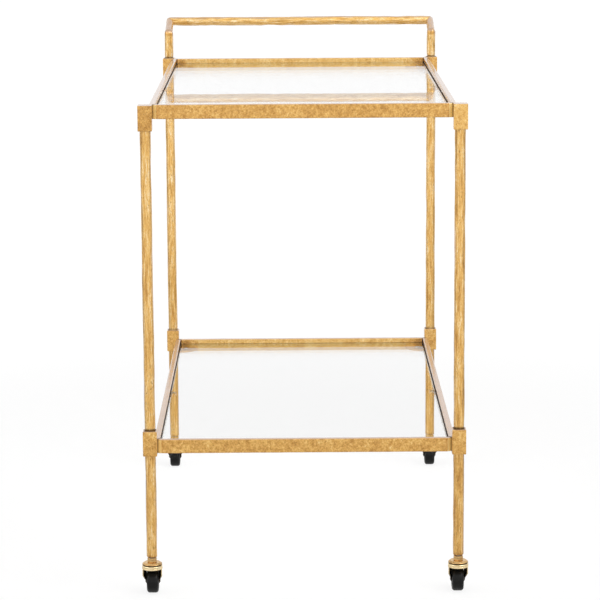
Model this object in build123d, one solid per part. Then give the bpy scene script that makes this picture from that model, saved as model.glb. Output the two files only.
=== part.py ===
from build123d import *
import os
from math import atan2, cos, degrees, radians, sin, sqrt, tan

# Bar cart on four swivel casters: two glass trays between hammered legs, push handle at the rear end.
# Millimetres. X is the width, Y the length with the handle at +Y, Z is up from the floor.

# Overall sizes, over the corner sleeves and from the floor
CART_WIDTH = 457.0
CART_LENGTH = 770.0
UPPER_SLEEVE_TOP = 702.5
LOWER_SLEEVE_TOP = 241.0

# Legs and the square sleeves that take them
LEG_DIAMETER = 15.5
LEG_FIT = 0.25
LEG_END_TAPER = 4.0
LEG_END_STEP = 1.6
SLEEVE_WALL = 2.0
SLEEVE_HEIGHT = 36.0

# Studs that pull a leg, its sleeve and the bar above together
STUD_DIAMETER = 8.0
STUD_LENGTH = 36.0
THREAD_CLEARANCE = 0.15
BORE_END_ROOM = 0.5

# Tray rails: flat bar on edge, bent round the corners and mitred there
RAIL_THICKNESS = 8.0
RAIL_HEIGHT = 20.0
RAIL_CORNER_RADIUS = 12.0
RAIL_EDGE_CHAMFER = 0.8
RAIL_NEST = 1.5
RAIL_SEAT_GAP = 0.15
UPPER_RAIL_DROP = 0.5
LOWER_RAIL_DROP = 15.0

# Glass panes and what carries them
GLASS_THICKNESS = 5.0
GLASS_RECESS = 7.5
GLASS_EDGE_GAP = 1.0
GLASS_EDGE_CHAMFER = 0.6
PLATE_THICKNESS = 3.0
CORNER_PLATE_RADIUS = 30.0
CORNER_PAD_INSET = 10.0
TAB_WIDTH = 30.0
TAB_REACH = 8.0
PAD_DIAMETER = 6.0
PAD_THICKNESS = 1.0

# Push handle: posts that lean back above a round knee, with a cross bar between them
HANDLE_DIAMETER = 14.5
HANDLE_RISE = 57.0
HANDLE_REACH = 50.0
HANDLE_ARM_RISE = 15.5
HANDLE_END_ROUND = 3.0
HANDLE_WELD_GAP = 0.15
POST_FOOT_RECESS = 1.0

# Casters
WHEEL_DIAMETER = 35.0
WHEEL_WIDTH = 16.6
WHEEL_TREAD_WIDTH = 16.0
WHEEL_SHOULDER_RADIUS = 4.0
WHEEL_HUB_DIAMETER = 12.0
WHEEL_RIM_THICKNESS = 5.5
WHEEL_WEB_WIDTH = 12.0
WHEEL_WEB_DRAFT = 1.0
CASTER_TRAIL = 12.0
AXLE_DIAMETER = 4.0
AXLE_RUNNING_FIT = 0.05
AXLE_HEAD_DIAMETER = 5.6
AXLE_HEAD_THICKNESS = 0.9
AXLE_HEAD_EDGE = 0.3
FORK_DIAMETER = 29.0
FORK_WALL = 1.6
FORK_LIP = 0.25
FORK_LIP_HEIGHT = 1.3
FORK_SHOULDER_RADIUS = 1.2
FORK_CROWN_HEIGHT = 5.3
FORK_WHEEL_CLEARANCE = 4.0
FORK_ARM_THICKNESS = 1.2
FORK_ARM_FRONT = -3.0
FORK_ARM_REAR = 9.0
FORK_ARM_BEND = 5.0
FORK_ARM_DROP = 10.0
FORK_ARM_END_RADIUS = 4.0
FORK_ARM_SIDE_GAP = 0.35
FORK_ARM_ROOT = 0.4
KING_PIN_DIAMETER = 7.0
KING_PIN_RUNNING_FIT = 0.05
KING_PIN_HEAD_DIAMETER = 10.0
KING_PIN_HEAD_THICKNESS = 1.3
SWIVEL_PLAY = 0.3
STEM_DEPTH = 25.0
STEM_FLANGE_DIAMETER = 13.0
BALL_DIAMETER = 3.0
BALL_COUNT = 8
BALL_TRACK_RADIUS = 9.5
BALL_SINK = 0.6
BALL_CLEARANCE = 0.3
CUP_DIAMETER = 28.4
CUP_HEIGHT = 3.3
CUP_WALL = 1.2
CUP_RIM_HEIGHT = 1.0
CUP_RIM_ROLL = 1.15
CUP_FLAT_DIAMETER = 23.0
CUP_LIFT = 0.9
NUT_ACROSS_FLATS = 13.0
NUT_HEIGHT = 6.5
NUT_CHAMFER = 0.8

# Places worked out from the sizes above
LEG_RADIUS = LEG_DIAMETER / 2
SLEEVE_BORE = LEG_DIAMETER + 2 * LEG_FIT
SLEEVE_SIDE = SLEEVE_BORE + 2 * SLEEVE_WALL
HANDLE_RADIUS = HANDLE_DIAMETER / 2
WHEEL_RADIUS = WHEEL_DIAMETER / 2
FORK_RADIUS = FORK_DIAMETER / 2
CUP_RADIUS = CUP_DIAMETER / 2
THREAD_HOLE_RADIUS = STUD_DIAMETER / 2 + THREAD_CLEARANCE

CROWN_BOTTOM = WHEEL_DIAMETER + FORK_WHEEL_CLEARANCE
CROWN_TOP = CROWN_BOTTOM + FORK_CROWN_HEIGHT
CUP_BOTTOM = CROWN_TOP + CUP_LIFT
CUP_TOP = CUP_BOTTOM + CUP_HEIGHT
LEG_BOTTOM = CUP_TOP + NUT_HEIGHT

# The legs stand on the sleeves' axes. The whole cart, handle included, is centred on the origin.
LEG_X = (CART_WIDTH - SLEEVE_SIDE) / 2
LEG_SPAN_Y = CART_LENGTH - SLEEVE_SIDE
FRONT_OVERHANG = max(SLEEVE_SIDE / 2, FORK_RADIUS + FORK_LIP)
REAR_OVERHANG = max(HANDLE_REACH + HANDLE_RADIUS, CASTER_TRAIL + WHEEL_RADIUS)
TRAY_Y = (FRONT_OVERHANG - REAR_OVERHANG) / 2
FRONT_LEG_Y = TRAY_Y - LEG_SPAN_Y / 2
REAR_LEG_Y = TRAY_Y + LEG_SPAN_Y / 2

# The rail's rounded corner nests in the sleeve's inner corner
CORNER_CUT = (1 - sqrt(0.5)) * RAIL_CORNER_RADIUS
RAIL_SETBACK = SLEEVE_SIDE - RAIL_NEST - CORNER_CUT
TRAY_WIDTH = CART_WIDTH - 2 * RAIL_SETBACK
TRAY_LENGTH = CART_LENGTH - 2 * RAIL_SETBACK
OPENING_WIDTH = TRAY_WIDTH - 2 * RAIL_THICKNESS
OPENING_LENGTH = TRAY_LENGTH - 2 * RAIL_THICKNESS
OPENING_RADIUS = RAIL_CORNER_RADIUS - RAIL_THICKNESS

SIDES = {"left": -1, "right": 1}
ENDS = {"front": FRONT_LEG_Y, "rear": REAR_LEG_Y}
UPPER_RAIL_TOP = UPPER_SLEEVE_TOP - UPPER_RAIL_DROP
LOWER_RAIL_TOP = LOWER_SLEEVE_TOP - LOWER_RAIL_DROP
RAIL_TOPS = {"upper": UPPER_RAIL_TOP, "lower": LOWER_RAIL_TOP}

LOWER_JOINT_Z = LOWER_SLEEVE_TOP - SLEEVE_HEIGHT / 2
UPPER_JOINT_Z = UPPER_SLEEVE_TOP - SLEEVE_HEIGHT / 2
HANDLE_AXIS_HEIGHT = UPPER_SLEEVE_TOP + HANDLE_RISE
HANDLE_SLOPE = degrees(atan2(HANDLE_ARM_RISE, HANDLE_REACH))

nodes = {}


def turned(profile):
    """Solid of revolution about Z from (radius, height) points."""
    outline = make_face(Polyline(*[(r, 0, z) for r, z in profile], close=True))
    return revolve(outline, Axis.Z)


def rod(radius, low, high):
    return Pos(0, 0, low) * Cylinder(radius, high - low, align=(Align.CENTER, Align.CENTER, Align.MIN))


def place(shape, side, end):
    return Pos(SIDES[side] * LEG_X, ENDS[end], 0) * shape


def tray_block(grow, bottom, top):
    """Rounded outer outline of a tray, grown by a small gap, as a solid block."""
    outline = RectangleRounded(TRAY_WIDTH + 2 * grow, TRAY_LENGTH + 2 * grow, RAIL_CORNER_RADIUS + grow)
    return Pos(0, TRAY_Y, bottom) * extrude(outline, top - bottom)


def rail_frame(top):
    """The whole rectangle of flat bar, edges eased, before it is cut at the mitres."""
    opening = RectangleRounded(OPENING_WIDTH, OPENING_LENGTH, OPENING_RADIUS)
    outline = RectangleRounded(TRAY_WIDTH, TRAY_LENGTH, RAIL_CORNER_RADIUS)
    frame = extrude(outline - opening, RAIL_HEIGHT)
    flat_faces = frame.faces().filter_by(Axis.Z)
    frame = chamfer(flat_faces.edges(), RAIL_EDGE_CHAMFER)
    return Pos(0, TRAY_Y, top - RAIL_HEIGHT) * frame


def make_rails(tier, top):
    frame = rail_frame(top)
    half_width = TRAY_WIDTH / 2
    half_length = TRAY_LENGTH / 2
    inner_end = half_length - half_width
    corner_left = (-half_width, -half_length)
    corner_right = (half_width, -half_length)
    mitred_end = Polyline(corner_left, corner_right, (0, -inner_end), close=True)
    front_wedge = Pos(0, TRAY_Y, top - RAIL_HEIGHT) * extrude(make_face(mitred_end), RAIL_HEIGHT)
    rear_wedge = mirror(front_wedge, Plane.XZ.offset(-TRAY_Y))
    half = Pos(half_width / 2, TRAY_Y, top - RAIL_HEIGHT / 2) * Box(half_width, TRAY_LENGTH, RAIL_HEIGHT)
    nodes[f"{tier}_front_rail"] = frame & front_wedge
    nodes[f"{tier}_rear_rail"] = frame & rear_wedge
    side_rails = frame - front_wedge - rear_wedge
    nodes[f"{tier}_right_rail"] = side_rails & half
    nodes[f"{tier}_left_rail"] = side_rails - half


def sleeve(top, closed):
    """Square tube round a leg; a closed one keeps a cap as thick as its wall."""
    bottom = top - SLEEVE_HEIGHT
    tube = Pos(0, 0, bottom) * extrude(Rectangle(SLEEVE_SIDE, SLEEVE_SIDE), SLEEVE_HEIGHT)
    bore_height = SLEEVE_HEIGHT - SLEEVE_WALL if closed else SLEEVE_HEIGHT
    bore = Pos(0, 0, bottom) * extrude(Rectangle(SLEEVE_BORE, SLEEVE_BORE), bore_height)
    return tube - bore


def make_sleeves():
    tops = {"upper": UPPER_SLEEVE_TOP, "lower": LOWER_SLEEVE_TOP}
    for tier, top in tops.items():
        seat_bottom = RAIL_TOPS[tier] - RAIL_HEIGHT - RAIL_SEAT_GAP
        seat_top = RAIL_TOPS[tier] + RAIL_SEAT_GAP
        if top - seat_top < SLEEVE_WALL:
            seat_top = top
        seat = tray_block(RAIL_SEAT_GAP, seat_bottom, seat_top)
        for end in ENDS:
            closed = tier == "upper" and end == "front"
            for side in SIDES:
                nodes[f"{tier}_{end}_{side}_sleeve"] = place(sleeve(top, closed), side, end) - seat


def upper_leg(top, drilled_top):
    """Bar between the tiers, drilled for the studs."""
    hole_depth = STUD_LENGTH / 2 + BORE_END_ROOM
    bar = rod(LEG_RADIUS, LOWER_JOINT_Z, top)
    bar -= rod(THREAD_HOLE_RADIUS, LOWER_JOINT_Z, LOWER_JOINT_Z + hole_depth)
    if drilled_top:
        bar -= rod(THREAD_HOLE_RADIUS, top - hole_depth, top)
    return bar


def lower_leg():
    """Short bar below the lower tray, tapered at the foot and drilled for the caster's stem."""
    foot_radius = LEG_RADIUS - LEG_END_STEP
    taper_top = LEG_BOTTOM + LEG_END_TAPER
    bar = turned([(0, LEG_BOTTOM), (foot_radius, LEG_BOTTOM), (LEG_RADIUS, taper_top),
                  (LEG_RADIUS, LOWER_JOINT_Z), (0, LOWER_JOINT_Z)])
    bar -= rod(THREAD_HOLE_RADIUS, LEG_BOTTOM, LEG_BOTTOM + STEM_DEPTH + BORE_END_ROOM)
    bar -= rod(THREAD_HOLE_RADIUS, LOWER_JOINT_Z - STUD_LENGTH / 2 - BORE_END_ROOM, LOWER_JOINT_Z)
    return bar


def make_legs():
    front_leg = upper_leg(UPPER_SLEEVE_TOP - SLEEVE_WALL, False)
    rear_leg = upper_leg(UPPER_JOINT_Z, True)
    for side in SIDES:
        nodes[f"front_{side}_upper_leg"] = place(front_leg, side, "front")
        nodes[f"rear_{side}_upper_leg"] = place(rear_leg, side, "rear")
        for end in ENDS:
            nodes[f"{end}_{side}_lower_leg"] = place(lower_leg(), side, end)


def make_studs():
    def stud(joint_z):
        return rod(STUD_DIAMETER / 2, joint_z - STUD_LENGTH / 2, joint_z + STUD_LENGTH / 2)

    studs = [place(stud(LOWER_JOINT_Z), side, end) for side in SIDES for end in ENDS]
    studs += [place(stud(UPPER_JOINT_Z), side, "rear") for side in SIDES]
    nodes["leg_studs"] = Compound(children=studs)


def corner_plate(thickness):
    """Quarter-round plate in the corner at the origin, its inner corner cut clear of the bent rail."""
    clear = OPENING_RADIUS + GLASS_EDGE_GAP
    sides = Polyline((0, CORNER_PLATE_RADIUS), (0, clear), (clear, 0), (CORNER_PLATE_RADIUS, 0))
    nose = CenterArc((0, 0), CORNER_PLATE_RADIUS, 0, 90)
    return extrude(make_face([*sides.edges(), nose.edge()]), thickness)


def make_glass(tier, rail_top):
    glass_top = rail_top - GLASS_RECESS
    glass_bottom = glass_top - GLASS_THICKNESS
    plate_top = glass_bottom - PAD_THICKNESS
    pane_width = OPENING_WIDTH - 2 * GLASS_EDGE_GAP
    pane_length = OPENING_LENGTH - 2 * GLASS_EDGE_GAP
    pane = extrude(RectangleRounded(pane_width, pane_length, OPENING_RADIUS), GLASS_THICKNESS)
    pane = chamfer(pane.faces().filter_by(Axis.Z).edges(), GLASS_EDGE_CHAMFER)
    nodes[f"{tier}_glass"] = Pos(0, TRAY_Y, glass_bottom) * pane

    corner = Pos(-OPENING_WIDTH / 2, -OPENING_LENGTH / 2, plate_top - PLATE_THICKNESS)
    front_left = corner * corner_plate(PLATE_THICKNESS)
    front_pair = [front_left, mirror(front_left, Plane.YZ)]
    plates = front_pair + [mirror(plate, Plane.XZ) for plate in front_pair]
    tab_x = (OPENING_WIDTH - TAB_REACH) / 2
    tab = Pos(tab_x, 0, plate_top - PLATE_THICKNESS / 2) * Box(TAB_REACH, TAB_WIDTH, PLATE_THICKNESS)
    plates += [tab, mirror(tab, Plane.YZ)]
    nodes[f"{tier}_glass_supports"] = Compound(children=[Pos(0, TRAY_Y, 0) * plate for plate in plates])

    corner_x = OPENING_WIDTH / 2 - CORNER_PAD_INSET
    corner_y = OPENING_LENGTH / 2 - CORNER_PAD_INSET
    tab_pad_x = (OPENING_WIDTH - TAB_REACH - GLASS_EDGE_GAP) / 2
    pad = rod(PAD_DIAMETER / 2, plate_top, glass_bottom)
    spots = [(corner_x, -corner_y), (tab_pad_x, 0), (corner_x, corner_y)]
    return [Pos(sign * x, TRAY_Y + y, 0) * pad for sign in SIDES.values() for x, y in spots]


def along_arm(y, z):
    """Frame on a handle arm's axis, turned so that Z points back and up along the arm."""
    return Pos(0, y, z) * Rot(HANDLE_SLOPE - 90, 0, 0)


def handle_post():
    """Post on the rear sleeve's axis: foot in the sleeve, round knee, arm that ends at the bar's back."""
    foot_top = UPPER_SLEEVE_TOP - POST_FOOT_RECESS
    knee_z = HANDLE_AXIS_HEIGHT - HANDLE_ARM_RISE
    lean = radians(HANDLE_SLOPE)
    arm_length = (HANDLE_REACH + HANDLE_RADIUS * (1 - sin(lean))) / cos(lean)
    arm = Cylinder(HANDLE_RADIUS, arm_length, align=(Align.CENTER, Align.CENTER, Align.MIN))
    arm = fillet(arm.edges().sort_by(Axis.Z)[-1], HANDLE_END_ROUND)
    post = rod(LEG_RADIUS, UPPER_JOINT_Z, foot_top) + rod(HANDLE_RADIUS, foot_top, knee_z)
    post += Pos(0, 0, knee_z) * Sphere(HANDLE_RADIUS)
    post += along_arm(0, knee_z) * arm
    hole_depth = STUD_LENGTH / 2 + BORE_END_ROOM
    return post - rod(THREAD_HOLE_RADIUS, UPPER_JOINT_Z, UPPER_JOINT_Z + hole_depth)


def make_handle():
    for side in SIDES:
        nodes[f"handle_{side}_post"] = place(handle_post(), side, "rear")
    bar_y = REAR_LEG_Y + HANDLE_REACH
    bar = Pos(0, bar_y, HANDLE_AXIS_HEIGHT) * Rot(0, 90, 0) * Cylinder(HANDLE_RADIUS, 2 * LEG_X)
    cope = Cylinder(HANDLE_RADIUS + HANDLE_WELD_GAP, 2 * HANDLE_DIAMETER)
    cope = along_arm(bar_y, HANDLE_AXIS_HEIGHT) * cope
    for sign in SIDES.values():
        bar -= Pos(sign * LEG_X, 0, 0) * cope
    nodes["handle_bar"] = bar


def caster_stem():
    """Turned stem: thread for the leg, flange under the cup, king pin through the fork, riveted head."""
    pin_top = CROWN_TOP + SWIVEL_PLAY
    head_top = CROWN_TOP - FORK_WALL - SWIVEL_PLAY
    thread = STUD_DIAMETER / 2
    pin = KING_PIN_DIAMETER / 2
    head = KING_PIN_HEAD_DIAMETER / 2
    flange = STEM_FLANGE_DIAMETER / 2
    flange_top = CUP_TOP - CUP_WALL
    head_bottom = head_top - KING_PIN_HEAD_THICKNESS
    stem_top = LEG_BOTTOM + STEM_DEPTH
    return turned([(0, head_bottom), (head, head_bottom), (head, head_top), (pin, head_top), (pin, pin_top),
                   (flange, pin_top), (flange, flange_top), (thread, flange_top), (thread, stem_top),
                   (0, stem_top)])


def caster_cup():
    """Flat-topped upper race, thin all over, with a rolled rim."""
    flat = CUP_FLAT_DIAMETER / 2
    rim_top = CUP_BOTTOM + CUP_RIM_HEIGHT
    roll_top = rim_top + CUP_RIM_ROLL
    inner_rim = CUP_RADIUS - CUP_WALL
    outside = Polyline((THREAD_HOLE_RADIUS, CUP_TOP), (flat, CUP_TOP), (inner_rim, roll_top))
    rolled = RadiusArc((inner_rim, roll_top), (CUP_RADIUS, rim_top), CUP_WALL)
    inside = Polyline((CUP_RADIUS, rim_top), (CUP_RADIUS, CUP_BOTTOM), (inner_rim, CUP_BOTTOM),
                      (inner_rim, CUP_BOTTOM + CUP_RIM_HEIGHT / 2), (flat, CUP_TOP - CUP_WALL),
                      (THREAD_HOLE_RADIUS, CUP_TOP - CUP_WALL), (THREAD_HOLE_RADIUS, CUP_TOP))
    section = make_face([*outside.edges(), rolled.edge(), *inside.edges()])
    return revolve(Plane.XZ * section, Axis.Z)


def fork_crown():
    """Pressed crown ring: flat top with a ball track, rounded shoulder and a flared lip."""
    lip = FORK_RADIUS + FORK_LIP
    inner = FORK_RADIUS - FORK_WALL
    lip_top = CROWN_BOTTOM + FORK_LIP_HEIGHT
    shoulder = FORK_SHOULDER_RADIUS
    bore = KING_PIN_DIAMETER / 2 + KING_PIN_RUNNING_FIT
    side = Polyline((bore, CROWN_TOP - FORK_WALL), (inner, CROWN_TOP - FORK_WALL), (inner, CROWN_BOTTOM),
                    (lip, CROWN_BOTTOM), (lip, lip_top), (FORK_RADIUS, lip_top + FORK_LIP),
                    (FORK_RADIUS, CROWN_TOP - shoulder))
    rounded = RadiusArc((FORK_RADIUS, CROWN_TOP - shoulder), (FORK_RADIUS - shoulder, CROWN_TOP), -shoulder)
    top = Polyline((FORK_RADIUS - shoulder, CROWN_TOP), (bore, CROWN_TOP), (bore, CROWN_TOP - FORK_WALL))
    section = make_face([*side.edges(), rounded.edge(), *top.edges()])
    crown = revolve(Plane.XZ * section, Axis.Z)
    track = Torus(BALL_TRACK_RADIUS, BALL_DIAMETER / 2 + BALL_CLEARANCE)
    return crown - Pos(0, 0, CROWN_TOP + BALL_DIAMETER / 2 - BALL_SINK) * track


def arm_strip():
    """Right arm in plan: toes in from the crown's wall, then runs back alongside the wheel."""
    front_x = sqrt((FORK_RADIUS - FORK_ARM_THICKNESS) ** 2 - FORK_ARM_FRONT ** 2)
    rear_x = WHEEL_WIDTH / 2 + FORK_ARM_SIDE_GAP
    rear_y = CASTER_TRAIL + 2 * FORK_ARM_END_RADIUS
    toe = atan2(front_x - rear_x, FORK_ARM_BEND - FORK_ARM_FRONT)
    outer_front = (front_x + FORK_ARM_THICKNESS * cos(toe), FORK_ARM_FRONT + FORK_ARM_THICKNESS * sin(toe))
    outer_x = rear_x + FORK_ARM_THICKNESS
    outer_bend = (outer_x, FORK_ARM_BEND + FORK_ARM_THICKNESS * tan(toe / 2))
    strip = Polyline((front_x, FORK_ARM_FRONT), (rear_x, FORK_ARM_BEND), (rear_x, rear_y), (outer_x, rear_y),
                     outer_bend, outer_front, close=True)
    return make_face(strip)


def fork_arm():
    """Right arm: a bent strip, upright at the front, that tapers back to a round end at the axle."""
    top = CROWN_TOP - FORK_WALL + FORK_ARM_ROOT
    front_edge = Polyline((FORK_ARM_FRONT, CROWN_BOTTOM - FORK_ARM_DROP), (FORK_ARM_FRONT, top),
                          (FORK_ARM_REAR, top), (FORK_ARM_REAR, CROWN_BOTTOM))
    end = Pos(CASTER_TRAIL, WHEEL_RADIUS) * Circle(FORK_ARM_END_RADIUS)
    outline = make_hull([*front_edge.edges(), *end.edges()])
    blank = extrude(Plane.YZ * outline, FORK_DIAMETER)
    return blank & extrude(arm_strip(), CROWN_TOP)


def caster_fork():
    arm = fork_arm()
    fork = fork_crown() + arm + mirror(arm, Plane.YZ)
    axle_place = Pos(0, CASTER_TRAIL, WHEEL_RADIUS) * Rot(0, 90, 0)
    return fork - axle_place * Cylinder(AXLE_DIAMETER / 2 + AXLE_RUNNING_FIT, 2 * FORK_DIAMETER)


def caster_axle():
    seat = WHEEL_WIDTH / 2 + FORK_ARM_SIDE_GAP + FORK_ARM_THICKNESS
    pin = AXLE_DIAMETER / 2
    head = AXLE_HEAD_DIAMETER / 2
    end = seat + AXLE_HEAD_THICKNESS
    edge = seat + AXLE_HEAD_EDGE
    rivet = turned([(0, -end), (pin, -end), (head, -edge), (head, -seat), (pin, -seat),
                    (pin, seat), (head, seat), (head, edge), (pin, end), (0, end)])
    return Pos(0, CASTER_TRAIL, WHEEL_RADIUS) * Rot(0, 90, 0) * rivet


def caster_wheel():
    """Solid wheel: rounded tread, dished webs and a hub that stands out past the rim."""
    bore = AXLE_DIAMETER / 2 + AXLE_RUNNING_FIT
    hub = WHEEL_HUB_DIAMETER / 2
    rim = WHEEL_RADIUS - WHEEL_RIM_THICKNESS
    half = WHEEL_TREAD_WIDTH / 2
    round_start = half - WHEEL_SHOULDER_RADIUS
    shoulder = WHEEL_RADIUS - WHEEL_SHOULDER_RADIUS
    web = WHEEL_WEB_WIDTH / 2
    hub_end = WHEEL_WIDTH / 2
    near = Polyline((shoulder, half), (rim, half), (rim - WHEEL_WEB_DRAFT, web),
                    (hub + WHEEL_WEB_DRAFT, web), (hub, hub_end), (bore, hub_end), (bore, 0))
    far = mirror(near, Plane.XZ)
    tread = Line((WHEEL_RADIUS, -round_start), (WHEEL_RADIUS, round_start))
    near_round = RadiusArc((WHEEL_RADIUS, round_start), (shoulder, half), -WHEEL_SHOULDER_RADIUS)
    far_round = mirror(near_round, Plane.XZ)
    outline = make_face([*near.edges(), *far.edges(), tread.edge(), near_round.edge(), far_round.edge()])
    wheel = revolve(Plane.XZ * outline, Axis.Z)
    return Pos(0, CASTER_TRAIL, WHEEL_RADIUS) * Rot(0, 90, 0) * wheel


def caster_balls():
    height = CROWN_TOP + BALL_DIAMETER / 2 - BALL_SINK
    track = PolarLocations(BALL_TRACK_RADIUS, BALL_COUNT)
    return [Pos(0, 0, height) * spot * Sphere(BALL_DIAMETER / 2) for spot in track]


def lock_nut():
    hexagon = extrude(RegularPolygon(NUT_ACROSS_FLATS / 2, 6, major_radius=False, rotation=30), NUT_HEIGHT)
    corner_radius = NUT_ACROSS_FLATS / 2 / cos(radians(30))
    turned_blank = Cylinder(corner_radius, NUT_HEIGHT, align=(Align.CENTER, Align.CENTER, Align.MIN))
    turned_blank = chamfer(turned_blank.edges().filter_by(GeomType.CIRCLE), NUT_CHAMFER)
    nut = hexagon & turned_blank
    return Pos(0, 0, CUP_TOP) * nut - rod(THREAD_HOLE_RADIUS, CUP_TOP, LEG_BOTTOM)


def make_casters():
    pieces = {"stem": caster_stem(), "cup": caster_cup(), "fork": caster_fork(),
              "axle": caster_axle(), "wheel": caster_wheel()}
    balls = []
    nuts = []
    for end in ENDS:
        for side in SIDES:
            for piece, shape in pieces.items():
                nodes[f"{end}_{side}_caster_{piece}"] = place(shape, side, end)
            balls += [place(ball, side, end) for ball in caster_balls()]
            nuts.append(place(lock_nut(), side, end))
    nodes["caster_balls"] = Compound(children=balls)
    nodes["caster_lock_nuts"] = Compound(children=nuts)


pads = []
for tier_name, rail_top in RAIL_TOPS.items():
    make_rails(tier_name, rail_top)
    pads += make_glass(tier_name, rail_top)
nodes["glass_pads"] = Compound(children=pads)
make_sleeves()
make_legs()
make_studs()
make_handle()
make_casters()

os.makedirs("parts", exist_ok=True)
for name, shape in nodes.items():
    export_step(shape, f"parts/{name}.step")
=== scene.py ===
import math
import bmesh
import bpy
from mathutils import Matrix, Vector


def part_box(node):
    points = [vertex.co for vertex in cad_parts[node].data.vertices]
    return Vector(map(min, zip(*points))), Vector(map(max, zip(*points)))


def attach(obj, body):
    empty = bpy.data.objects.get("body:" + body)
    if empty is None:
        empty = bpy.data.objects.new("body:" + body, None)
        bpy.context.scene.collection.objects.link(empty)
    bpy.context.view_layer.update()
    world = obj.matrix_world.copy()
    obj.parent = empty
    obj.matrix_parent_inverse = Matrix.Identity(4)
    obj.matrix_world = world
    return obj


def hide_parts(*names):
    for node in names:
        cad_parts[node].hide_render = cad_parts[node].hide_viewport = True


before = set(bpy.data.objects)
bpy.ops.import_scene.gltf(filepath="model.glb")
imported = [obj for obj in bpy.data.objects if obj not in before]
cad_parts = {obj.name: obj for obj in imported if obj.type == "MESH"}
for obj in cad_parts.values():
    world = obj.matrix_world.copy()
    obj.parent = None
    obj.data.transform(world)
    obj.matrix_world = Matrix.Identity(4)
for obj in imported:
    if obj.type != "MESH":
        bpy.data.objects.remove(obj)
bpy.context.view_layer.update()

# Bar cart with gold-leafed hammered bars, seen from its front end. Metres, in the frame of the solids.
MM = 0.001

TIERS = ("upper", "lower")
ENDS = ("front", "rear")
SIDES = ("left", "right")
CORNERS = [(end, side) for end in ENDS for side in SIDES]
CART = "cart"

# Round bars: the hammer's flats, counted around the bar, and the bar's slight wander off its line
BAR_SIDES = 36
BEND_STEPS = 12
HAMMER_STEP = 2.0 * MM
POST_STEP = 0.6 * MM
HAMMER_FLATS = 7.5
HAMMER_FLAT_LENGTH = 34.0 * MM
LEG_FLAT_LENGTH = 70.0 * MM
HAMMER_FLAT_DEPTH = 0.75 * MM
HANDLE_FLAT_DEPTH = 0.95 * MM
HOLLOW_REACH = 0.42
HAMMER_RIPPLE = 0.3 * MM
RIPPLES_PER_FLAT = 2.6
HAMMER_WANDER = 0.5 * MM
LOWER_LEG_WANDER = 0.2 * MM
WANDERS_PER_METRE = 11.0
WANDER_SPREAD = 3.0
BAR_END_MARGIN = 22.0 * MM

# Round bars: necks drawn in at the sleeves' mouths, feet, and the handle's bends
SLEEVE_MOUTH_INSET = 18.0 * MM
NECK_PAST_MOUTH = 1.0 * MM
BAR_NECK_WIDTH = 2.2 * MM
BAR_NECK_DEPTH = 0.9 * MM
LEG_NECK_DEPTHS = {"front": BAR_NECK_DEPTH, "rear": 0.4 * MM}
POST_NECK_DEPTH = BAR_NECK_DEPTH * 0.6
PLAIN_END = 1.0 * MM
LEG_FOOT_TAPER = 4.0 * MM
LEG_FOOT_STEP = 1.6 * MM
HANDLE_ARM_RISE = 15.5 * MM
HANDLE_KNEE_RADIUS = 2.0 * MM
HANDLE_END_ROUND = 3.0 * MM
HANDLE_ARM_THIN = 1.0 * MM
THIN_LENGTH = 4.0 * MM

# Seeds of the hammer marks and dents, different for each piece
LEG_SEED = 3.0
LEG_SEED_STEP = 5.3
POST_SEED = 61.7
POST_SEED_SPREAD = 40.0
HANDLE_BAR_SEED = 84.1
RAIL_SEED = 1.0
RAIL_SEED_STEP = 2.7
SLEEVE_SEED = 1.0
SLEEVE_SEED_STEP = 1.9

# Flat bars of the trays. Dents are counted per metre: fine ones, then broad ones
RAIL_THICKNESS = 8.0 * MM
RAIL_CORNER_RADIUS = 12.0 * MM
RAIL_EDGE_ROUND = 1.0 * MM
RAIL_EDGE_STEPS = 3
RAIL_SECTION_POINTS = 72
RAIL_STEP = 3.0 * MM
RAIL_DENT = 0.16 * MM
RAIL_DENTS = (95.0, 28.0)

# Square corner sleeves
SLEEVE_WALL = 2.0 * MM
SLEEVE_EDGE_ROUND = 0.8 * MM
SLEEVE_MOUTH_DEPTH = 9.0 * MM
SLEEVE_DENT = 0.14 * MM
SLEEVE_DENTS = (120.0, 40.0)
SLEEVE_GRID = {"Vertices X": 21, "Vertices Y": 21, "Vertices Z": 37}

# Painted shade: dark lines at the sleeves, full up to the first distance and gone from the second
MOUTH_SHADE_LINE = (0.8 * MM, 1.5 * MM)
SLEEVE_SHADE_LINE = (0.5 * MM, 1.3 * MM)

# Painted shade: dark seams on the rails' inner faces, above and below the top of the pane
INNER_FACING = (0.3, 0.7)
SIDE_SEAM_HEIGHT = {"upper": 1.7 * MM, "lower": 4.0 * MM}
SIDE_SEAM_DARKNESS = 1.0
END_SEAM_HEIGHT = 0.0
END_SEAM_DARKNESS = {"upper": 0.35, "lower": 0.65}
SEAM_FADE = 1.0 * MM

# Painted light and shade of single pieces, as shifts of the leaf's tone: above 0 paler, below 0 browner
LOWER_LEG_SHADE_TONES = {"left": -0.015, "right": -0.045}
UPPER_LEG_LIGHT_TONES = {"front": 0.0, "rear": 0.015}
HANDLE_LIGHT_TONE = 0.03
# Painted shade near the handle's knee, and near the start of the other bars, full up to the first distance
# and gone from the second
KNEE_SHADE_TONE = -0.14
KNEE_RANGE = (2.0 * MM, 6.0 * MM)
RAIL_LIGHT_TONES = {"upper_rear": 0.09, "lower_front": 0.01, "lower_rear": 0.07,
              "lower_left": 0.01, "lower_right": 0.01}
SLEEVE_LIGHT_AND_SHADE_TONES = {"upper_front_left": -0.02, "upper_front_right": 0.06,
                "upper_rear_left": 0.045, "upper_rear_right": 0.04,
                "lower_front_left": 0.015, "lower_front_right": 0.02,
                "lower_rear_left": 0.045, "lower_rear_right": 0.055}
# Painted shade on the rails' inner faces near the corners, full up to the first distance from the rail's end
# and gone from the second
CORNER_SHADE_TONE = -0.12
CORNER_RANGE = (5.0 * MM, 24.0 * MM)

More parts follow.
